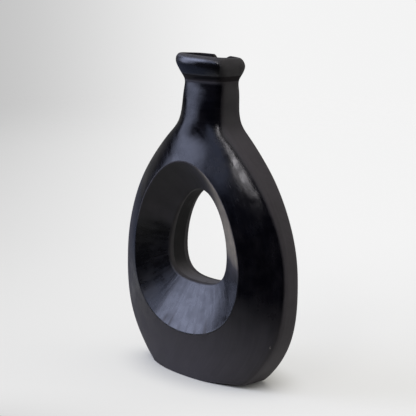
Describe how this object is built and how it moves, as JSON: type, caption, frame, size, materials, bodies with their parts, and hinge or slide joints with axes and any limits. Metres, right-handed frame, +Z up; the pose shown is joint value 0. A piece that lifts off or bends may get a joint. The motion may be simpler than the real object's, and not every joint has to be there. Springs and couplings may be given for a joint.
{
  "type": "clay flask pot",
  "caption": "Flask-shaped vessel of burnished black clay with a slim neck, a rolled lip, dished faces and an egg-shaped hole through its hollow body.",
  "frame": {"origin": "middle of the foot, on the surface the pot stands on", "axes": "+Z up to the mouth, +X across the wide face, the front face looks along -Y"},
  "size_m": [0.2186, 0.0666, 0.3033],
  "materials": {
    "burnished_clay": "black clay rubbed to a satin shine with a stone, faint strokes",
    "recess_clay": "black clay, lightly burnished in strokes across the dish, matt in places",
    "raw_clay": "unburnished smoke-fired clay, matt and slightly brown"
  },
  "bodies": {
    "root": {"base_slab": "burnished_clay", "front_shell": "burnished_clay", "back_shell": "burnished_clay", "front_recess": "recess_clay", "back_recess": "recess_clay", "tunnel_wall": "raw_clay", "neck": "burnished_clay", "mouth_lip": "burnished_clay"}
  },
  "joints": []
}
